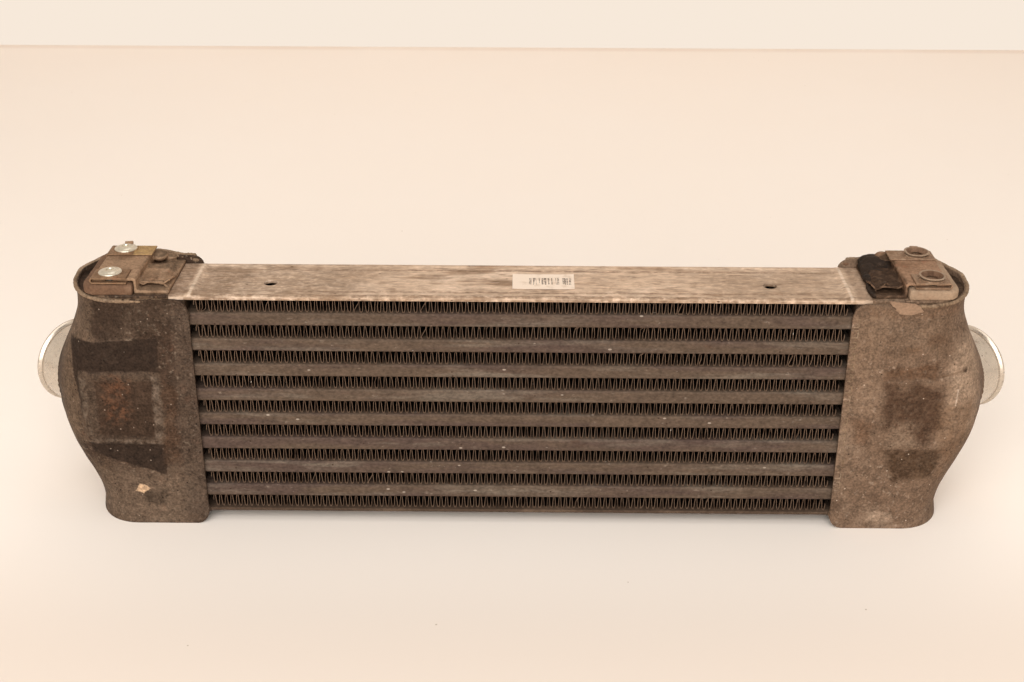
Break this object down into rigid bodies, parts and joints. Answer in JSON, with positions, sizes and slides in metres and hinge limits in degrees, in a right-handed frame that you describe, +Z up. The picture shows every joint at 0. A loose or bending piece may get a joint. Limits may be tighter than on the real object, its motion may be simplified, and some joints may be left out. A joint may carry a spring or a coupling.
{
  "type": "charge-air cooler",
  "caption": "Bar-and-fin charge-air cooler: flat tubes and corrugated fins between two pressed end tanks, each with a beaded hose spigot and a clip-nut bracket.",
  "frame": {"origin": "middle of the overall box's bottom face, on the surface that the two tank feet stand on", "axes": "+X along the core towards the right tank, -Y out of the cooling-air face, +Y towards the spigots, +Z up to the mounting brackets"},
  "size_m": [0.723, 0.1072, 0.1993],
  "materials": {
    "tube_aluminium": "oxidised, dusty",
    "fin_aluminium": "oxidised, sooty",
    "plate_aluminium": "mottled, dusty",
    "tank_aluminium": "road-dirty, stained",
    "spigot_aluminium": "bright, lightly worn",
    "bracket_steel": "dusty",
    "clip_steel": "dull zinc",
    "zinc_steel": "zinc plated",
    "label_film": "matt, dusty"
  },
  "bodies": {
    "root": {"charge_tube_1": "tube_aluminium", "charge_tube_2": "tube_aluminium", "charge_tube_3": "tube_aluminium", "charge_tube_4": "tube_aluminium", "charge_tube_5": "tube_aluminium", "charge_tube_6": "tube_aluminium", "charge_tube_7": "tube_aluminium", "charge_tube_8": "tube_aluminium", "turbulator_1": "fin_aluminium", "turbulator_2": "fin_aluminium", "turbulator_3": "fin_aluminium", "turbulator_4": "fin_aluminium", "turbulator_5": "fin_aluminium", "turbulator_6": "fin_aluminium", "turbulator_7": "fin_aluminium", "turbulator_8": "fin_aluminium", "air_fin_1": "fin_aluminium", "air_fin_2": "fin_aluminium", "air_fin_3": "fin_aluminium", "air_fin_4": "fin_aluminium", "air_fin_5": "fin_aluminium", "air_fin_6": "fin_aluminium", "air_fin_7": "fin_aluminium", "air_fin_8": "fin_aluminium", "air_fin_9": "fin_aluminium", "side_plate_top": "plate_aluminium", "side_plate_bottom": "plate_aluminium", "label": "label_film", "header_right": "plate_aluminium", "tank_right": "tank_aluminium", "tank_cap_top_right": "tank_aluminium", "tank_cap_bottom_right": "tank_aluminium", "spigot_right": "spigot_aluminium", "bracket_right": "bracket_steel", "saddle_right": "bracket_steel", "clip_nut_front_right": "clip_steel", "clip_nut_back_right": "clip_steel", "header_left": "plate_aluminium", "tank_left": "tank_aluminium", "tank_cap_top_left": "tank_aluminium", "tank_cap_bottom_left": "tank_aluminium", "spigot_left": "spigot_aluminium", "bracket_left": "bracket_steel", "saddle_left": "bracket_steel", "clip_nut_front_left": "clip_steel", "clip_nut_back_left": "clip_steel", "screw_front_left": "zinc_steel", "screw_back_left": "zinc_steel"}
  },
  "joints": []
}
